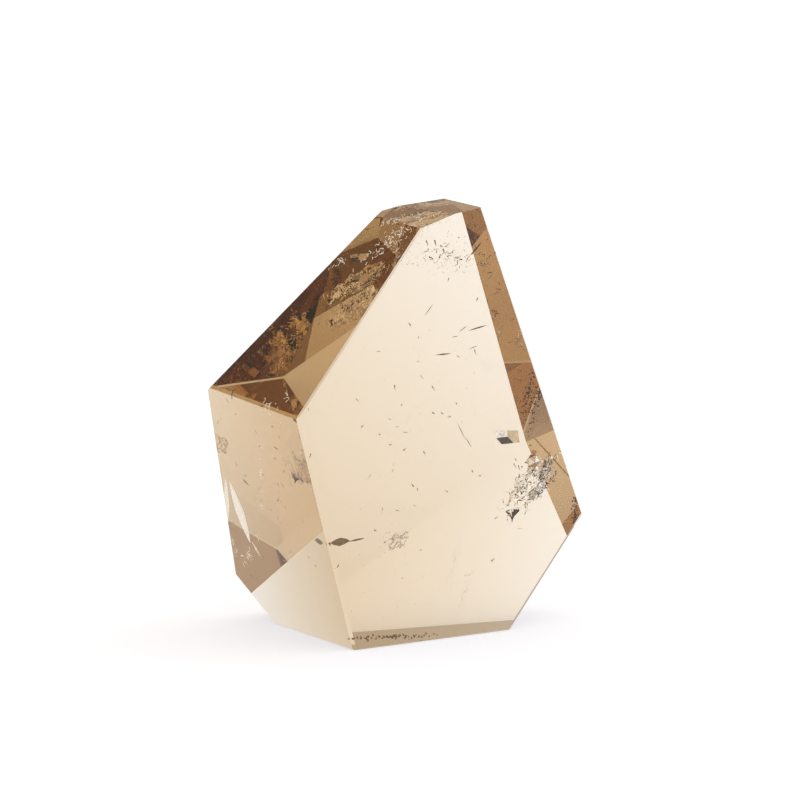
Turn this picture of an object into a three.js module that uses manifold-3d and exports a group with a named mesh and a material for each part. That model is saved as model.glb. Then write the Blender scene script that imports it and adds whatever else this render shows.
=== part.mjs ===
// A point of citrine quartz: one clear crystal, ground flat on every side and polished, standing on a
// flat base. Millimetres, +Z up. The broad front face looks forwards (-Y), about a third of a right
// angle round to the right (+X), and leans out a little over the base.
//
// The stone is worked the way a lapidary works it. The front face is laid out first, as an outline. A
// rough block is cut down to it and to one facet after another, and then the sharp edges that a hand
// would meet are broken with narrow bevels.
import * as THREE from 'three';
import { mergeVertices } from 'three/addons/utils/BufferGeometryUtils.js';
import Module from 'manifold-3d';

const wasm = await Module();
wasm.setup();

// The rough block is a cube about the front face's foot, larger than the finished stone on every side.
const ROUGH_SIZE = 150;
const WASTE_WIDTH = 3 * ROUGH_SIZE;
const WASTE_THICKNESS = 2 * ROUGH_SIZE;

// How far the front face turns to the right of straight ahead and leans out over the base, in degrees.
const FRONT_TURN = 32;
const FRONT_LEAN = 5;

// The sides of the front face, clockwise from its foot. Each begins at a corner, so many mm across the
// face from the foot and up it from the base. fall is how far the next facet turns away from the front
// across that side, in degrees, where 90 is square.
const FRONT_SIDES = {
  left: { across: 0, up: 0, fall: 88 },
  shoulder: { across: -10, up: 31.5, fall: 90 },
  crown: { across: 7, up: 54.5, fall: 92 },
  tip: { across: 12, up: 56, fall: 94 },
  right: { across: 16, up: 56.5, fall: 93 },
  rightUnder: { across: 34, up: 14.5, fall: 60 },
};
const RIGHT_FOOT = { across: 23.5, up: 0 };

// The facets behind are set as on a faceting head, from a point inside the stone. heading is the
// compass direction a facet looks in (0 is +Y, the back, and 90 is +X, the right) and lift is how far it
// looks up, in degrees. depth is its distance from that point, in mm.
const HEART = { across: 10, up: 25, inside: 10 };
const BEHIND = {
  backUpper: { heading: -18, lift: 19, depth: 7.5 },
  backLower: { heading: -5, lift: 0, depth: 12.5 },
  shoulderBack: { heading: -80, lift: 43.5, depth: 20.5 },
  leftUnder: { heading: -70, lift: -50, depth: 29.5 },
};

// Narrow bevels on the edges between two facets, with their widths in mm. The long edges that a hand
// closes on are broken more than the short ones.
const BROAD_BEVEL = 0.5;
const FINE_BEVEL = 0.3;
const BEVELS = [
  ['front', 'left', BROAD_BEVEL],
  ['shoulder', 'left', BROAD_BEVEL],
  ['front', 'rightUnder', BROAD_BEVEL],
  ['front', 'right', FINE_BEVEL],
  ['shoulder', 'front', FINE_BEVEL],
  ['base', 'front', FINE_BEVEL],
  ['base', 'left', FINE_BEVEL],
];

// The direction that looks along a compass heading and up by a lift.
function direction(heading, lift) {
  const turn = THREE.MathUtils.degToRad(heading);
  const tilt = THREE.MathUtils.degToRad(lift);
  const level = Math.cos(tilt);
  return new THREE.Vector3(Math.sin(turn) * level, Math.cos(turn) * level, Math.sin(tilt));
}

// The front face's own directions, out of it, across it to the right and up it, with its foot at (0, 0, 0).
const OUT = direction(180 - FRONT_TURN, -FRONT_LEAN);
const ACROSS = direction(90 - FRONT_TURN, 0);
const UP = OUT.clone().cross(ACROSS);

function pointOnFront({ across, up }) {
  return ACROSS.clone().multiplyScalar(across).addScaledVector(UP, up);
}

// The facet that falls away from the front face across the side from one corner to the next.
function sidePlane(corner, nextCorner) {
  const fall = THREE.MathUtils.degToRad(corner.fall);
  const start = pointOnFront(corner);
  const along = pointOnFront(nextCorner).sub(start).normalize();
  const outwards = OUT.clone().cross(along);
  const normal = OUT.clone().multiplyScalar(Math.cos(fall)).addScaledVector(outwards, Math.sin(fall));
  return { normal, depth: normal.dot(start) };
}

function frontPlanes() {
  const corners = [...Object.values(FRONT_SIDES), RIGHT_FOOT];
  const planes = { front: { normal: OUT, depth: 0 }, base: { normal: direction(0, -90), depth: 0 } };
  Object.keys(FRONT_SIDES).forEach((name, i) => {
    planes[name] = sidePlane(corners[i], corners[i + 1]);
  });
  return planes;
}

function behindPlanes() {
  const heart = pointOnFront(HEART).addScaledVector(OUT, -HEART.inside);
  const planes = {};
  for (const [name, { heading, lift, depth }] of Object.entries(BEHIND)) {
    const normal = direction(heading, lift);
    planes[name] = { normal, depth: depth + normal.dot(heart) };
  }
  return planes;
}

// The bevel between two facets faces half way between them, and cuts the edge back to the given width.
function bevelPlane(first, second, width) {
  const sum = first.normal.clone().add(second.normal);
  const halfTurn = first.normal.angleTo(second.normal) / 2;
  const edgeDepth = (first.depth + second.depth) / sum.length();
  return { normal: sum.normalize(), depth: edgeDepth - (width / 2) * Math.tan(halfTurn) };
}

function solidFrom(geometry) {
  geometry.deleteAttribute('normal');
  geometry.deleteAttribute('uv');
  const merged = mergeVertices(geometry);
  return new wasm.Manifold(new wasm.Mesh({
    numProp: 3,
    vertProperties: new Float32Array(merged.attributes.position.array),
    triVerts: new Uint32Array(merged.index.array),
  }));
}

// The waste beyond a facet: a block whose inner face lies on the facet's plane.
function wasteBeyond({ normal, depth }) {
  const waste = new THREE.BoxGeometry(WASTE_WIDTH, WASTE_WIDTH, WASTE_THICKNESS);
  waste.translate(0, 0, WASTE_THICKNESS / 2 + depth);
  const turn = new THREE.Quaternion().setFromUnitVectors(new THREE.Vector3(0, 0, 1), normal);
  waste.applyQuaternion(turn);
  return solidFrom(waste);
}

function grindStone() {
  const planes = { ...frontPlanes(), ...behindPlanes() };
  const bevels = BEVELS.map(([first, second, width]) => bevelPlane(planes[first], planes[second], width));
  let stone = solidFrom(new THREE.BoxGeometry(ROUGH_SIZE, ROUGH_SIZE, ROUGH_SIZE));
  for (const plane of [...Object.values(planes), ...bevels]) {
    stone = stone.subtract(wasteBeyond(plane));
  }
  return stone;
}

// The solid as a mesh, standing on z = 0 with the middle of its box on the Z axis.
function stoneGeometry() {
  const { vertProperties, triVerts } = grindStone().getMesh();
  const geometry = new THREE.BufferGeometry();
  geometry.setAttribute('position', new THREE.BufferAttribute(vertProperties, 3));
  geometry.setIndex(new THREE.BufferAttribute(triVerts, 1));
  geometry.computeBoundingBox();
  const { min, max } = geometry.boundingBox;
  geometry.translate(-(min.x + max.x) / 2, -(min.y + max.y) / 2, -min.z);
  geometry.computeVertexNormals();
  return geometry;
}

// Pale honey-brown quartz with a wet-looking polish.
function citrine() {
  return new THREE.MeshStandardMaterial({ color: 0xe3c79b, roughness: 0.05, metalness: 0 });
}

const crystalPoint = new THREE.Mesh(stoneGeometry(), citrine());
crystalPoint.name = 'crystal_point';

const model = new THREE.Group();
model.add(crystalPoint);

export default model;
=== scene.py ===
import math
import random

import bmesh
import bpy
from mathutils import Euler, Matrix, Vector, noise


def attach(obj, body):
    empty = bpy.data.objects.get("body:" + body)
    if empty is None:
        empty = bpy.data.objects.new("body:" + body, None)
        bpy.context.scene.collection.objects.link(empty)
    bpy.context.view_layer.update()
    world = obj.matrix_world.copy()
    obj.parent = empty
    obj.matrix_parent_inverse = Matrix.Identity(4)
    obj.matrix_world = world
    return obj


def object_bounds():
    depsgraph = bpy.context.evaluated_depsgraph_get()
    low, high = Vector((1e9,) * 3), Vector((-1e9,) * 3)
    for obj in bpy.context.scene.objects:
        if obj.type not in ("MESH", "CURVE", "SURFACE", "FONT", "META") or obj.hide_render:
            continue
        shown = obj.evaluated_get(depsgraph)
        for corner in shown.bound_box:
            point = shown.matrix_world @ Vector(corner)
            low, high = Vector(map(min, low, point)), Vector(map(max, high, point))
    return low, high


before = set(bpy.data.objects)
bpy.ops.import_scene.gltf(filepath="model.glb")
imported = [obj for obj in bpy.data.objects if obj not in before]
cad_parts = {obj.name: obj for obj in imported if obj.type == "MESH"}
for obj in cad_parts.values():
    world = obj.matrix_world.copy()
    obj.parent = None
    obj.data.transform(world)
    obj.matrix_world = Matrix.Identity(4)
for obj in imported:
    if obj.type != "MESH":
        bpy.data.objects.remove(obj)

# %% [markdown]
# # A polished point of citrine quartz
#
# The stone itself is exact and comes from the CAD frame: one clear solid with flat ground facets. This
# lesson gives it its looks. A clear stone shows little of its own surface. What the eye reads is the
# light that comes through it, so the work is in three places: the clear quartz, the flaws that are
# sealed in it, and the light around it.

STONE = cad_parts["crystal_point"]
CAD_BOX = [list(corner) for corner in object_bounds()]
print("CAD box in metres:", CAD_BOX)

MM = 0.001


def linear(hex_colour):
    """An sRGB hex colour such as #e8d0a8, as linear red, green, blue and alpha."""
    channels = [int(hex_colour[i:i + 2], 16) / 255 for i in (1, 3, 5)]
    return [c / 12.92 if c <= 0.04045 else ((c + 0.055) / 1.055) ** 2.4 for c in channels] + [1.0]


def new_material(name):
    """An empty node material, with its node tree and its output node."""
    material = bpy.data.materials.new(name)
    material.use_nodes = True
    tree = material.node_tree
    tree.nodes.clear()
    return material, tree, tree.nodes.new("ShaderNodeOutputMaterial")


def add_node(tree, kind, settings=None, links=None):
    """Adds a node, sets its sockets or properties, and links its inputs to other nodes' outputs."""
    node = tree.nodes.new(kind)
    for key, value in (settings or {}).items():
        if isinstance(key, int) or key in node.inputs:
            node.inputs[key].default_value = value
        else:
            setattr(node, key, value)
    for socket, source in (links or {}).items():
        tree.links.new(source, node.inputs[socket])
    return node


def add_noise(tree, grain_mm, detail=3.0):
    """A noise pattern in the object's own space, with grains of about this size."""
    where = add_node(tree, "ShaderNodeTexCoord")
    return add_node(tree, "ShaderNodeTexNoise", {"Scale": 1 / (grain_mm * MM), "Detail": detail},
                    {"Vector": where.outputs["Object"]})


# %% [markdown]
# ## Clear citrine
#
# Quartz bends light with an IOR of 1.55. Its honey colour isn't on the surface. It is in the depth, so
# a short way through is nearly white and a long way is brown. Volume Absorption does just that: it
# takes a little more blue than green, and more green than red, on every millimetre. The polish is by
# hand, so here and there it keeps a faint haze of hairline scratches.

# %% Clear citrine
QUARTZ_IOR = 1.55
# How much of red, green and blue is lost on each millimetre of the way through.
LOSS_PER_MM = (0.011, 0.019, 0.033)
# Hairlines are too fine to show one by one, so the haze is drawn as patches about this big, in mm.
HAZE_GRAIN = 1.5
HAZE_DETAIL = 6.0
# Where on the noise pattern's scale the haze begins and is full, and how rough it is there.
HAZE_BEGINS = 0.58
HAZE_IS_FULL = 0.75
HAZE_ROUGHNESS = 0.05


def polish_haze(tree):
    """Roughness that is nothing over most of the stone and rises a little in small hazy patches."""
    patches = add_noise(tree, HAZE_GRAIN, HAZE_DETAIL)
    return add_node(tree, "ShaderNodeMapRange", {
        "From Min": HAZE_BEGINS, "From Max": HAZE_IS_FULL, "To Min": 0.0, "To Max": HAZE_ROUGHNESS},
        {"Value": patches.outputs["Fac"]})


def citrine():
    material, tree, output = new_material("polished citrine quartz")
    haze = polish_haze(tree)
    glass = add_node(tree, "ShaderNodeBsdfPrincipled", {
        "Base Color": (1, 1, 1, 1), "IOR": QUARTZ_IOR, "Transmission Weight": 1.0},
        {"Roughness": haze.outputs["Result"]})
    density = max(LOSS_PER_MM) / MM
    kept = [1 - loss / max(LOSS_PER_MM) for loss in LOSS_PER_MM] + [1.0]
    depth = add_node(tree, "ShaderNodeVolumeAbsorption", {"Color": kept, "Density": density})
    tree.links.new(glass.outputs["BSDF"], output.inputs["Surface"])
    tree.links.new(depth.outputs["Volume"], output.inputs["Volume"])
    print("citrine: absorption density", round(density, 1), "per metre, colour", [round(k, 2) for k in kept])
    return material


STONE.data.materials.clear()
STONE.data.materials.append(citrine())

# %% [markdown]
# ## Finding the facets
#
# The flaws are sealed in behind the facets, so each is placed from the facet it is seen through. The
# CAD mesh is loose triangles. A copy of it is merged and its flat triangles dissolved, and then each
# face of the copy is one facet. Three facets meet in a corner, and across and up are measured from it.

# %% Facets
# Points closer than this are one, and triangles that turn less than this from each other are one facet.
MERGE_WITHIN = 0.001 * MM
FLAT_WITHIN = math.radians(0.5)
# Anything smaller than this isn't looked for when a facet is found by the way it looks.
LEAST_AREA = 10 * MM * MM


def stone_facets():
    """Each flat facet as the way it looks, a point on it and its area."""
    bm = bmesh.new()
    bm.from_mesh(STONE.data)
    bmesh.ops.remove_doubles(bm, verts=bm.verts, dist=MERGE_WITHIN)
    bmesh.ops.dissolve_limit(bm, angle_limit=FLAT_WITHIN, verts=bm.verts, edges=bm.edges)
    facets = [(face.normal.copy(), face.calc_center_median(), face.calc_area()) for face in bm.faces]
    bm.free()
    return facets


STONE_FACETS = stone_facets()


def facet_looking(heading, lift):
    """The large facet that looks most nearly this way (0 is the back, 90 the right), and a point on it."""
    turn, tilt = math.radians(heading), math.radians(lift)
    look = Vector((math.sin(turn) * math.cos(tilt), math.cos(turn) * math.cos(tilt), math.sin(tilt)))
    large = [(out, point) for out, point, area in STONE_FACETS if area > LEAST_AREA]
    return max(large, key=lambda facet: facet[0].dot(look))


def corner_of(*facets):
    """The point where three facets would meet if the edges between them were sharp."""
    outs = Matrix([out for out, point in facets])
    return outs.inverted() @ Vector([out.dot(point) for out, point in facets])


def measured_from(facet, corner):
    """A facet's corner and axes: across it to the right, up it and out of it."""
    out = facet[0]
    across = Vector((-out.y, out.x, 0)).normalized()
    return corner, across, out.cross(across), out


base, front, left = facet_looking(0, -90), facet_looking(150, 0), facet_looking(-120, -20)
shoulder, crown = facet_looking(-130, 35), facet_looking(-120, 75)
FRONT = measured_from(front, corner_of(base, front, left))
LEFT = measured_from(left, corner_of(base, front, left))
SHOULDER = measured_from(shoulder, corner_of(front, left, shoulder))
CROWN = measured_from(crown, corner_of(front, shoulder, crown))
print(len(STONE_FACETS), "facets; the front one looks towards", [round(v, 2) for v in FRONT[3]])


# %% Placing a flaw
# How far a flaw stays inside the skin of the stone, in mm.
SKIN = 0.15


def inside(point):
    return all((point - on_facet).dot(out) < -SKIN * MM for out, on_facet, area in STONE_FACETS)


def place(facet, across, up, deep, turn=0, lean=0, swing=0):
    """A place behind a facet, for a shape modelled in mm with X along it and Z out of the facet."""
    corner, right, above, out = facet
    at = corner + (right * across + above * up - out * deep) * MM
    axes = Matrix((right, above, out)).transposed().to_4x4()
    tilt = Euler([math.radians(angle) for angle in (lean, swing, turn)]).to_matrix().to_4x4()
    return Matrix.Translation(at) @ axes @ tilt @ Matrix.Scale(MM, 4)


# %% [markdown]
# ## What the flaws are made of
#
# Most marks in clear quartz are nothing but air: a crack that healed with a film of air left in it. Seen
# from inside the stone, air is the thinner stuff, so a film has an IOR of 1 / 1.55, and where it lies at
# a slant it mirrors light like silver. Where the film is crumpled it mirrors whichever way the eye comes
# from, which a bright metal gives. Where a crack healed into countless tiny faces it is frosted. The dark
# marks are minerals: iron stains, rutile and flakes of dark oxide. Each of these gets a noise pattern at
# its own grain, because no natural mark has one even colour.

# %% Making the materials of the flaws
# Where on the noise pattern's scale a grained colour is wholly dark, and where it is wholly light.
ALL_DARK = 0.35
ALL_LIGHT = 0.65
FILM_ROUGHNESS = 0.04


def grained(name, dark, light, grain_mm, roughness, metallic=0.0, glow=0.0):
    """A material whose colour wanders between a dark and a light hex, with grains of a size in mm."""
    material, tree, output = new_material(name)
    grain = add_noise(tree, grain_mm)
    ramp = add_node(tree, "ShaderNodeValToRGB", links={"Fac": grain.outputs["Fac"]})
    for stop, (position, colour) in zip(ramp.color_ramp.elements, ((ALL_DARK, dark), (ALL_LIGHT, light))):
        stop.position = position
        stop.color = linear(colour)
    body = add_node(tree, "ShaderNodeBsdfPrincipled", {
        "Roughness": roughness, "Metallic": metallic,
        "Emission Color": linear(light), "Emission Strength": glow},
        {"Base Color": ramp.outputs["Color"]})
    tree.links.new(body.outputs["BSDF"], output.inputs["Surface"])
    return material


def air_film():
    material, tree, output = new_material("air film in quartz")
    air = add_node(tree, "ShaderNodeBsdfPrincipled", {
        "Base Color": (1, 1, 1, 1), "Roughness": FILM_ROUGHNESS,
        "IOR": 1 / QUARTZ_IOR, "Transmission Weight": 1.0})
    tree.links.new(air.outputs["BSDF"], output.inputs["Surface"])
    return material


# %% Materials of the flaws
# Clear where it is seen straight on, and a mirror where it lies at a slant.
AIR = air_film()
# Bright from any side, with a few greyer grains.
SILVER = grained("crumpled air film that mirrors", "#cfc7ba", "#ffffff", 0.35, 0.25, 1.0)
# Frost scatters the light that reaches it from all sides, so it stays pale even in the brown depths of
# the stone. The glow stands for that.
FROST = grained("frosted healed crack", "#d9cdb8", "#fffaf0", 0.25, 0.6, glow=0.45)
# Rust that has seeped into a crack: a dull, uneven brown, with a faint painted glow that lightens it a
# little.
IRON_STAIN_AND_GLOW = grained("iron oxide stain with painted glow", "#6b4a2a", "#b08a55", 0.18, 0.55, glow=0.05)
# Rust in so thin a film that light comes through: pale tan. The glow stands for that light.
TAN_FILM = grained("thin iron-stained film", "#c9a97c", "#ecd9b8", 0.5, 0.5, glow=0.3)
# Needles with a fairly sharp shine, dark brown and gold by turns.
RUTILE = grained("golden brown rutile", "#3a2817", "#b5813f", 0.4, 0.3)
# Almost black, with brown grains where a flake is thin.
DARK_OXIDE = grained("dark oxide flakes", "#33281a", "#6b5432", 0.3, 0.35)

# %% [markdown]
# ## Shapes of flaws
#
# A few shapes make them all. Each is modelled in millimetres about its own origin, and one function
# then sets it in its place. A crack is a spindle, a healed crack is a crumpled film, a broken film is a
# flake, and small fresh cracks near the surface are curls. A veil is a cloud of bubbles, and small
# crystals are six-sided shards.

# %% Cracks and films as shapes
# How much of its width a spindle has lost at its ends, beyond the roundness of a ball.
SPINDLE_TAPER = 0.8
# A crumpled film's grid, how ragged its edge is, and what sets the edge's pattern apart from the creases.
FILM_GRID = (30, 18)
RAGGEDNESS = 0.4
EDGE_PATTERN = 9


def spindle(part, length, width, thick):
    """A lens that runs out to a point at both ends."""
    bmesh.ops.create_icosphere(part, subdivisions=2, radius=1.0)
    for vert in part.verts:
        vert.co.y *= 1 - SPINDLE_TAPER * vert.co.x ** 2
        vert.co.z *= 1 - SPINDLE_TAPER * vert.co.x ** 2
    bmesh.ops.scale(part, vec=(length / 2, width / 2, thick / 2), verts=part.verts)


def crumpled_film(part, length, width, thick, crumple, grain, seed):
    """A round-cornered sheet with a ragged edge, creased at about the grain size, and given a thickness."""
    bmesh.ops.create_grid(part, x_segments=FILM_GRID[0], y_segments=FILM_GRID[1], size=1.0)
    for vert in part.verts:
        x, y = vert.co.x, vert.co.y
        rounded = x * math.sqrt(1 - y * y / 2), y * math.sqrt(1 - x * x / 2)
        flat = Vector((rounded[0] * length / 2, rounded[1] * width / 2, 0))
        ragged = 1 + RAGGEDNESS * noise.noise(flat / (2 * grain) + Vector((seed, 0, EDGE_PATTERN)))
        height = crumple * noise.noise(flat / grain + Vector((0, seed, 0)))
        vert.co = (flat.x * ragged, flat.y * ragged, height)
    bmesh.ops.solidify(part, geom=part.faces[:], thickness=thick)


def flake(part, length, width, thick, skew):
    """A thin broken flake with four straight edges, its top edge pushed along by skew times its length."""
    bmesh.ops.create_cube(part, size=1.0)
    for vert in part.verts:
        vert.co.x += skew * vert.co.y
    bmesh.ops.scale(part, vec=(length, width, thick), verts=part.verts)


# %% Curls, bubbles and small crystals as shapes
# A curl is a hair with so many sides, and is bent in so many steps.
HAIR_SIDES = 5
HAIR_STEPS = 6
CRYSTAL_SIDES = 6


def curl(part, radius, sweep, thick):
    """A bent hair: a small round section spun through part of a turn."""
    bmesh.ops.create_circle(part, cap_ends=True, segments=HAIR_SIDES, radius=thick / 2)
    bmesh.ops.rotate(part, cent=(0, 0, 0), matrix=Matrix.Rotation(math.pi / 2, 3, "X"), verts=part.verts)
    bmesh.ops.translate(part, vec=(radius, 0, 0), verts=part.verts)
    bmesh.ops.spin(part, geom=part.verts[:] + part.edges[:] + part.faces[:], cent=(0, 0, 0),
                   axis=(0, 0, 1), angle=math.radians(sweep), steps=HAIR_STEPS, use_merge=False)
    bmesh.ops.holes_fill(part, edges=part.edges, sides=0)


def bubble(part, size):
    bmesh.ops.create_icosphere(part, subdivisions=1, radius=size / 2)


def shard(part, length, width):
    """A small crystal: six-sided, and under a third as wide at one end as at the other."""
    bmesh.ops.create_cone(part, cap_ends=True, segments=CRYSTAL_SIDES,
                          radius1=width / 2, radius2=width / 7, depth=length)


# %% Sealing the shapes in
def add_shape(bm, where, make, *sizes):
    """Adds one shape in its place to a piece, unless it would break through the skin of the stone."""
    part = bmesh.new()
    make(part, *sizes)
    bmesh.ops.transform(part, matrix=where, verts=part.verts)
    fits = all(inside(vert.co) for vert in part.verts)
    if fits:
        mesh = bpy.data.meshes.new("shape")
        part.to_mesh(mesh)
        bm.from_mesh(mesh)
        bpy.data.meshes.remove(mesh)
    part.free()
    return fits


def seal_in(name, facet, material, shapes):
    """One piece from a list of (across, up, deep, turn, lean, swing, shape, sizes). It rides on root."""
    bm = bmesh.new()
    kept = [add_shape(bm, place(facet, *shape[:6]), shape[6], *shape[7]) for shape in shapes]
    bmesh.ops.recalc_face_normals(bm, faces=bm.faces)
    mesh = bpy.data.meshes.new(name)
    bm.to_mesh(mesh)
    bm.free()
    mesh.materials.append(material)
    piece = bpy.data.objects.new(name, mesh)
    bpy.context.collection.objects.link(piece)
    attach(piece, "root")
    print(f"{name}: {len(mesh.polygons)} faces, {sum(kept)} of {len(kept)} shapes fit inside")


# %% Strewing shapes by seeded chance
CHANCE = random.Random(11)
# Nothing is strewn less deep than this, in mm, or leans and swings further than this, in degrees.
LEAST_DEPTH = 0.4
MOST_TILT = 70


def scatter(centre, spread, turn, count, make_one):
    """Shapes strewn about a centre. Most lie within spread, in mm: along the turned cloud, over it, deep."""
    cosine = math.cos(math.radians(turn))
    sine = math.sin(math.radians(turn))
    shapes = []
    for _ in range(count):
        along, over, down = [CHANCE.gauss(0, reach / 2) for reach in spread]
        across = centre[0] + along * cosine - over * sine
        up = centre[1] + along * sine + over * cosine
        spot = (across, up, max(LEAST_DEPTH, centre[2] + down))
        turn_to = CHANCE.uniform(-180, 180)
        lean_to = CHANCE.uniform(-MOST_TILT, MOST_TILT)
        swing_to = CHANCE.uniform(-MOST_TILT, MOST_TILT)
        shapes.append((*spot, turn_to, lean_to, swing_to, *make_one()))
    return shapes


def tiny_bubble():
    return bubble, (CHANCE.uniform(0.06, 0.14),)


def tiny_curl():
    return curl, (CHANCE.uniform(0.15, 0.5), CHANCE.uniform(50, 160), CHANCE.uniform(0.05, 0.1))


def small_shard():
    return shard, (CHANCE.uniform(0.4, 1.4), CHANCE.uniform(0.12, 0.32))


def fleck():
    return shard, (CHANCE.uniform(0.3, 0.9), CHANCE.uniform(0.08, 0.2))


def grit():
    return bubble, (CHANCE.uniform(0.12, 0.35),)


# %% [markdown]
# ## The nest of small crystals
#
# The one big flaw is a hollow that small crystals grew in, low on the right. It is a slanting band about
# 10 mm long and 4 mm wide. Its floor is frosted, with a clear crumpled veil behind it. Two scraps of
# crumpled film lie over the floor and give the silver. Dark flecks run along the band and across it,
# dark shards come together in a fan at its lower tip, and a round bubble with rings sits in its upper
# half. Many small shapes, most of them about a millimetre long or less, give a glitter that one big
# shape can't.

# %% Floor and films of the nest
# The band's slant in degrees, and its middle: so many mm across, up and deep behind the front facet.
NEST_SLANT = 45
NEST_MIDDLE = (26.5, 19.0, 2.0)

seal_in("nest_floor", FRONT, FROST, [
    (26.5, 18.5, 2.5, NEST_SLANT, 10, 0, crumpled_film, (5.0, 2.0, 0.05, 0.6, 0.6, 3)),
    (24.5, 16.5, 2.2, NEST_SLANT - 10, -10, 5, crumpled_film, (2.5, 1.5, 0.05, 0.4, 0.5, 8))])
seal_in("nest_veil", FRONT, AIR, [
    (26.5, 18.5, 3.0, NEST_SLANT, 0, 0, crumpled_film, (8.0, 4.0, 0.05, 0.8, 0.6, 12))])
seal_in("nest_silver", FRONT, SILVER, [
    (27.0, 18.0, 1.5, NEST_SLANT, 15, 0, crumpled_film, (3.0, 1.5, 0.05, 0.4, 0.5, 6)),
    (28.5, 21.0, 1.5, NEST_SLANT + 10, 0, -10, crumpled_film, (2.5, 1.5, 0.05, 0.5, 0.4, 5))])

# %% Crystals of the nest
seal_in("nest_bright_shards", FRONT, FROST,
        scatter(NEST_MIDDLE, (5.5, 2.0, 0.8), NEST_SLANT, 70, small_shard))
seal_in("nest_clear_shards", FRONT, AIR,
        scatter(NEST_MIDDLE, (6.0, 2.5, 0.8), NEST_SLANT, 24, small_shard))
seal_in("nest_dark_shards", FRONT, DARK_OXIDE,
        scatter((26.5, 20.5, 1.5), (3.0, 0.6, 0.3), NEST_SLANT - 85, 28, fleck)
        + scatter((28.5, 18.5, 1.5), (4.5, 0.4, 0.3), NEST_SLANT, 32, fleck)
        + scatter((24.5, 18.0, 1.5), (3.0, 2.0, 0.3), NEST_SLANT, 28, fleck))
seal_in("nest_tip", FRONT, DARK_OXIDE, [
    (23.8 + 0.2 * k, 15.0 + 0.1 * abs(k), 2.0, -14 * k, 90, 0, shard, (1.7 - 0.2 * abs(k), 0.35))
    for k in range(-3, 4)])
seal_in("nest_stain", FRONT, IRON_STAIN_AND_GLOW,
        scatter((29.0, 21.5, 1.5), (2.0, 1.2, 0.3), NEST_SLANT, 24, fleck)
        + scatter((27.0, 19.0, 1.5), (5.0, 2.0, 0.3), NEST_SLANT, 28, fleck))
seal_in("nest_bubble", FRONT, AIR, [
    (26.5, 22.0, 2.0, 0, 0, 0, bubble, (2.0,)),
    *[(26.5, 22.0, 0.9, 12 * ring, 0, 0, curl, (0.3 + 0.3 * ring, 150, 0.08)) for ring in range(3)]])

# %% [markdown]
# ## Single cracks and films
#
# Each of these is one mark that the eye finds at once: a small flat mirror of air with a dark part and a
# tan part, an iron-stained lens on the front left edge, a bright crack behind the left facet, and a pale
# crinkle. Needles and short cracks are thin spindles. Specks and grit are strewn by chance.

# %% Cracks and films
seal_in("mirror_film", FRONT, SILVER, [(21.5, 26.0, 2.0, 0, 0, 0, flake, (1.5, 1.2, 0.05, -0.5))])
seal_in("mirror_film_dark", FRONT, DARK_OXIDE, [(22.0, 25.2, 1.9, 0, 0, 0, flake, (1.8, 0.9, 0.05, -0.5))])
seal_in("mirror_film_tan", FRONT, TAN_FILM, [(23.3, 25.6, 2.0, -5, 0, 0, flake, (1.7, 1.6, 0.05, -0.3))])
seal_in("stained_crack", FRONT, IRON_STAIN_AND_GLOW, [
    (-2.5, 14.5, 1.0, 0, 15, 0, spindle, (3.0, 1.2, 0.15)),
    (0.0, 14.5, 1.0, 5, 15, 0, spindle, (2.5, 0.3, 0.1))])
seal_in("stained_crack_side", LEFT, IRON_STAIN_AND_GLOW, [(-1.5, 15.0, 0.8, 0, 15, 0, spindle, (2.0, 1.0, 0.15))])
seal_in("bright_crack", LEFT, FROST, [
    (-21.0, 15.5, 1.5, -85, 0, 0, spindle, (9.0, 2.2, 0.15)),
    (-19.5, 10.5, 1.5, -60, 0, 0, spindle, (2.5, 0.3, 0.1)),
    *scatter((-22.5, 9.0, 1.5), (4.0, 0.5, 0.3), 35, 24, tiny_curl)])
seal_in("pale_crinkle", FRONT, AIR, [
    (6.5, 13.5, 2.0, 20, 25, 0, crumpled_film, (3.5, 2.5, 0.04, 0.4, 0.5, 4)),
    (5.0, 14.0, 2.0, 60, 0, 0, curl, (0.8, 120, 0.08))])

# %% Needles and short cracks
# Each is so many mm across, up and deep, turned so many degrees, and so long and wide.
NEEDLES = [
    (12.0, 37.5, 2.0, 0, 2.5, 0.2),
    (17.0, 40.5, 2.0, 10, 3.0, 0.2),
    (16.5, 38.0, 2.0, 15, 1.5, 0.1),
    (15.0, 40.5, 2.5, 30, 1.5, 0.1),
    (9.5, 43.5, 2.0, 50, 2.0, 0.1),
    (15.5, 27.0, 2.5, -60, 3.0, 0.1),
    (16.5, 25.5, 2.0, -55, 2.0, 0.1),
    (14.0, 39.5, 3.0, 5, 1.0, 0.1),
    (17.5, 48.5, 2.5, -10, 1.5, 0.1),
    (19.5, 45.0, 1.5, 35, 1.0, 0.1),
    (12.5, 50.5, 3.0, -5, 1.0, 0.1),
    (9.0, 51.0, 3.0, 10, 1.0, 0.1),
]
seal_in("needles", FRONT, RUTILE, [
    (across, up, deep, turn, 0, 0, spindle, (length, width, width))
    for across, up, deep, turn, length, width in NEEDLES])
seal_in("dark_slash", FRONT, DARK_OXIDE, [(16.0, 51.0, 1.5, 45, 0, 0, spindle, (2.5, 0.3, 0.1))])
seal_in("left_smudges", LEFT, DARK_OXIDE, [
    (-17.0, 20.5, 1.5, -30, 0, 0, spindle, (1.5, 0.3, 0.1)),
    (-6.5, 27.0, 2.0, -20, 0, 0, spindle, (1.0, 0.2, 0.1)),
    (-1.5, 23.5, 1.0, -50, 0, 0, spindle, (1.0, 0.4, 0.1)),
    (-14.0, 33.0, 1.5, 60, 0, 0, spindle, (1.0, 0.2, 0.1))])

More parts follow.
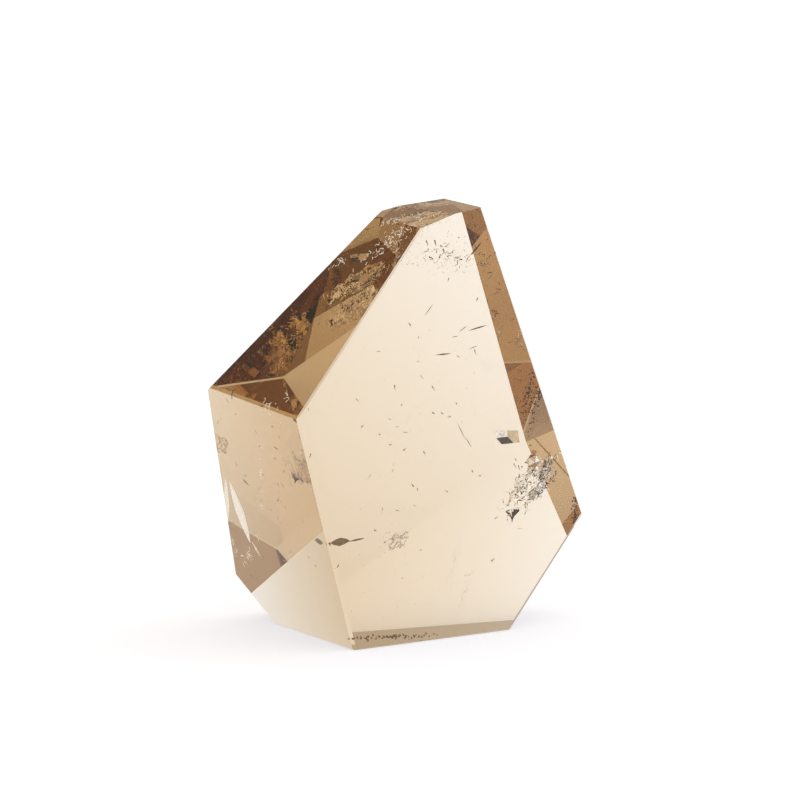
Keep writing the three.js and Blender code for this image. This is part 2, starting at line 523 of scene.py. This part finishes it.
# %% Specks and grit
seal_in("top_specks", FRONT, DARK_OXIDE, scatter((13.0, 50.0, 2.0), (7.0, 1.5, 0.8), -10, 34, fleck))
seal_in("front_specks", FRONT, IRON_STAIN_AND_GLOW, scatter((12.0, 27.0, 2.0), (16.0, 26.0, 1.5), 0, 60, fleck))
seal_in("left_specks", LEFT, IRON_STAIN_AND_GLOW, scatter((-10.0, 20.0, 1.5), (9.0, 14.0, 1.0), 0, 24, fleck))
seal_in("foot_grit", FRONT, IRON_STAIN_AND_GLOW, scatter((5.5, 1.0, 1.0), (7.0, 0.3, 0.5), -5, 90, grit))

# %% [markdown]
# ## Veils of bubbles and fine curls
#
# A healed crack leaves a veil: hundreds of tiny bubbles in one sheet. Over the pale front they look like
# grey dust. Over the brown shoulder the veil's frosted curls look white.

# %% Veils
seal_in("shoulder_veil", SHOULDER, FROST,
        scatter((-2.0, 26.5, 1.5), (5.0, 1.5, 0.8), 45, 70, tiny_curl)
        + scatter((-10.0, 21.5, 1.0), (3.0, 0.5, 0.3), 40, 14, tiny_curl)
        + scatter((-5.0, 2.5, 1.0), (1.5, 0.5, 0.3), -50, 5, tiny_curl))
seal_in("shoulder_bubbles", SHOULDER, AIR,
        scatter((-2.0, 26.5, 1.5), (6.0, 2.5, 1.0), 45, 40, tiny_bubble)
        + scatter((-8.0, 12.0, 2.0), (9.0, 7.0, 1.0), 40, 50, tiny_bubble))
seal_in("crown_veil", CROWN, FROST, scatter((-5.0, 3.0, 1.0), (5.0, 1.5, 0.5), 30, 40, tiny_curl))
seal_in("top_veil", FRONT, AIR,
        scatter((12.0, 50.0, 2.5), (8.0, 2.5, 1.0), -10, 200, tiny_bubble)
        + scatter((12.0, 50.0, 2.5), (5.5, 1.5, 1.0), -10, 40, tiny_curl))
seal_in("left_veil", LEFT, AIR,
        scatter((-22.0, 9.0, 1.5), (2.5, 1.0, 0.5), 20, 90, tiny_bubble)
        + scatter((-12.0, 20.0, 2.5), (5.0, 9.0, 1.5), 0, 60, tiny_bubble))
seal_in("left_curls", LEFT, FROST,
        scatter((-4.0, 32.5, 1.0), (2.5, 0.8, 0.3), -20, 10, tiny_curl)
        + scatter((-12.0, 23.0, 1.5), (4.5, 0.3, 0.3), 65, 14, tiny_curl))
seal_in("low_veils", FRONT, AIR,
        scatter((15.5, 9.0, 3.0), (4.0, 0.5, 0.5), 80, 70, tiny_bubble)
        + scatter((17.5, 5.5, 3.0), (4.5, 0.5, 0.5), 70, 90, tiny_bubble)
        + scatter((7.0, 10.0, 4.0), (9.0, 7.0, 2.0), 20, 120, tiny_bubble)
        + scatter((10.0, 32.0, 3.5), (9.0, 14.0, 2.0), 0, 120, tiny_bubble))

# %% [markdown]
# ## Floor and room
#
# The stone stands on white paper, so wide that its far edge is never seen. In front of the stone the
# paper ends, and a grey table goes on from there. Straight to the eye it is all paper, and only light
# that the stone bends or mirrors, or that bounces off the paper, meets the table. It shows little. The
# room is a world shader, brighter on some sides than on others, because each facet picks up its own side
# of the room. The brown depths come from long ways through the stone and from its dimmer, warmer sides.

# %% Floor
FLOOR_RADIUS = 4.0
FLOOR_SIDES = 96
# The paper lies this far under the stone's base, which keeps the two surfaces apart.
PAPER_DROP = 0.02 * MM
# How far in front of the stone's middle the paper ends, and how far either way its edge is softened.
PAPER_END = 200 * MM
EDGE_SOFTENING = 50 * MM
MATT_ROUGHNESS = 0.9
# Both give off a little light of their own. The paper's is cool, as under a lamp, and evens out the warm
# light of the room.
PAPER_GLOW = 0.55
TABLE_GLOW = 0.15


def surface(tree, colour, glow_colour, glow):
    """A matt surface that is lit by the room and gives off some light of its own."""
    return add_node(tree, "ShaderNodeBsdfPrincipled", {
        "Base Color": linear(colour), "Roughness": MATT_ROUGHNESS,
        "Emission Color": linear(glow_colour), "Emission Strength": glow})


def beyond_paper(tree):
    """1 on the grey table and 0 on the paper. Straight to the eye it is all paper."""
    where = add_node(tree, "ShaderNodeTexCoord")
    axes = add_node(tree, "ShaderNodeSeparateXYZ", links={"Vector": where.outputs["Object"]})
    table = add_node(tree, "ShaderNodeMapRange", {
        "interpolation_type": "SMOOTHSTEP", "From Min": -PAPER_END + EDGE_SOFTENING,
        "From Max": -PAPER_END - EDGE_SOFTENING}, {"Value": axes.outputs["Y"]})
    path = add_node(tree, "ShaderNodeLightPath")
    unseen = add_node(tree, "ShaderNodeMath", {"operation": "SUBTRACT", 0: 1.0},
                      {1: path.outputs["Is Camera Ray"]})
    return add_node(tree, "ShaderNodeMath", {"operation": "MULTIPLY"},
                    {0: table.outputs["Result"], 1: unseen.outputs[0]})


# %% The floor's material and its disc
def floor_material():
    material, tree, output = new_material("white paper on a grey table")
    paper = surface(tree, "#f4f3f1", "#eaf1ff", PAPER_GLOW)
    table = surface(tree, "#b4b1ab", "#ffffff", TABLE_GLOW)
    both = add_node(tree, "ShaderNodeMixShader", links={
        0: beyond_paper(tree).outputs[0], 1: paper.outputs["BSDF"], 2: table.outputs["BSDF"]})
    tree.links.new(both.outputs[0], output.inputs["Surface"])
    return material


def make_floor():
    mesh = bpy.data.meshes.new("floor")
    bm = bmesh.new()
    bmesh.ops.create_circle(bm, cap_ends=True, segments=FLOOR_SIDES, radius=FLOOR_RADIUS)
    bmesh.ops.translate(bm, vec=(0, 0, -PAPER_DROP), verts=bm.verts)
    bm.to_mesh(mesh)
    bm.free()
    mesh.materials.append(floor_material())
    floor = bpy.data.objects.new("floor", mesh)
    bpy.context.collection.objects.link(floor)
    print("floor disc radius:", FLOOR_RADIUS, "m")


make_floor()

# %% Studio light
# How bright the room is to each side, and its tint. The right is a window. The left is dim and warm, as
# from wood, and the back and top are a little warm.
ROOM = {
    "back": (0.6, "#fff0dc"),
    "front": (0.7, "#ffffff"),
    "left": (0.3, "#ffd8a8"),
    "right": (1.2, "#ffffff"),
    "top": (0.7, "#fff6e8"),
}


def studio_world():
    """A room whose sides blend by the squares of the direction's X, Y and Z. To the eye it is white."""
    world = bpy.data.worlds.new("studio")
    bpy.context.scene.world = world
    world.use_nodes = True
    tree = world.node_tree
    tree.nodes.clear()
    where = add_node(tree, "ShaderNodeTexCoord")
    axes = add_node(tree, "ShaderNodeSeparateXYZ", links={"Vector": where.outputs["Generated"]})
    path = add_node(tree, "ShaderNodeLightPath")
    total = None
    sides = (("X", 1, "right"), ("X", -1, "left"), ("Y", 1, "back"), ("Y", -1, "front"), ("Z", 1, "top"))
    for axis, sign, name in sides:
        toward = add_node(tree, "ShaderNodeMath", {"operation": "MULTIPLY", "use_clamp": True, 1: sign},
                          {0: axes.outputs[axis]})
        square = add_node(tree, "ShaderNodeMath", {"operation": "MULTIPLY"},
                          {0: toward.outputs[0], 1: toward.outputs[0]})
        brightness, tint = ROOM[name]
        light = [brightness * channel for channel in linear(tint)[:3]]
        part = add_node(tree, "ShaderNodeVectorMath", {"operation": "SCALE", 0: light},
                        {"Scale": square.outputs[0]})
        if total is None:
            total = part
        else:
            total = add_node(tree, "ShaderNodeVectorMath", {"operation": "ADD"},
                             {0: total.outputs[0], 1: part.outputs[0]})
    seen = add_node(tree, "ShaderNodeVectorMath", {"operation": "MAXIMUM"},
                    {0: total.outputs[0], 1: path.outputs["Is Camera Ray"]})
    sky = add_node(tree, "ShaderNodeBackground", {"Strength": 1.0}, {"Color": seen.outputs[0]})
    add_node(tree, "ShaderNodeOutputWorld", links={"Surface": sky.outputs["Background"]})
    print("room brightness and tint:", ROOM)


studio_world()

# %% [markdown]
# ## Camera
#
# A long lens from about 0.8 m, only a little above the stone, keeps its upright edges nearly upright. It
# is aimed a little above the stone's middle, and a touch to the right of it.

# %% Camera
CAMERA_LIFT = math.radians(10)
CAMERA_DISTANCE = 795 * MM
AIM_FROM_MIDDLE = Vector((0.5, 0, 2.5)) * MM
LENS = 280
SENSOR_WIDTH = 36
NEAREST_SEEN = 10 * MM


def make_camera():
    data = bpy.data.cameras.new("camera")
    data.sensor_width = SENSOR_WIDTH
    data.lens = LENS
    data.clip_start = NEAREST_SEEN
    camera = bpy.data.objects.new("camera", data)
    bpy.context.collection.objects.link(camera)
    middle = (Vector(CAD_BOX[0]) + Vector(CAD_BOX[1])) / 2
    away = Vector((0, -math.cos(CAMERA_LIFT), math.sin(CAMERA_LIFT)))
    camera.location = middle + AIM_FROM_MIDDLE + away * CAMERA_DISTANCE
    camera.rotation_euler = away.to_track_quat("Z", "Y").to_euler()
    bpy.context.scene.camera = camera
    print("camera at", [round(v, 3) for v in camera.location], "lens", LENS, "mm")


make_camera()

# %% Light paths
# Light turns many times inside the stone before it comes out, so it is followed for many bounces.
scene = bpy.context.scene
scene.view_settings.view_transform = "Standard"
scene.cycles.max_bounces = 24
scene.cycles.transmission_bounces = 24
scene.cycles.glossy_bounces = 16
scene.cycles.diffuse_bounces = 3
scene.cycles.volume_bounces = 0
